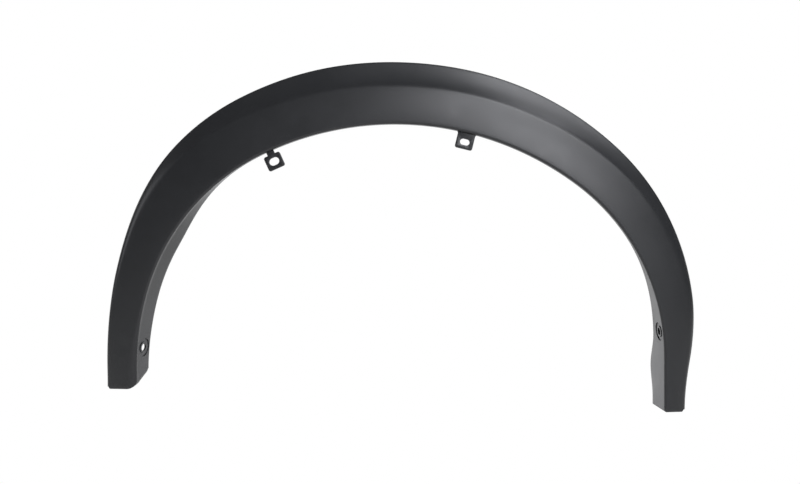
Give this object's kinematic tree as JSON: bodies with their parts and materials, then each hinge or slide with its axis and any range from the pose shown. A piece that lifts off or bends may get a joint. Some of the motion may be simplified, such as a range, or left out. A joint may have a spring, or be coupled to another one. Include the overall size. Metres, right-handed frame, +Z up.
{
  "type": "wheel arch trim",
  "caption": "Moulded trim for the edge of a car's wheel opening, with a turned-in return, a concave outer band, slotted tabs under the crown and screw holes in the legs.",
  "frame": {"origin": "under the middle of the wheel opening, level with the lower end of the longer leg and halfway through the depth", "axes": "+X along the car to the right as seen from outside, +Y inwards to the car's middle, +Z up; the visible face looks towards -Y"},
  "size_m": [0.8323, 0.0621, 0.4945],
  "materials": {
    "moulding": "fine-grained, unpainted, dark grey"
  },
  "bodies": {
    "root": {"arch_trim": "moulding"}
  },
  "joints": []
}
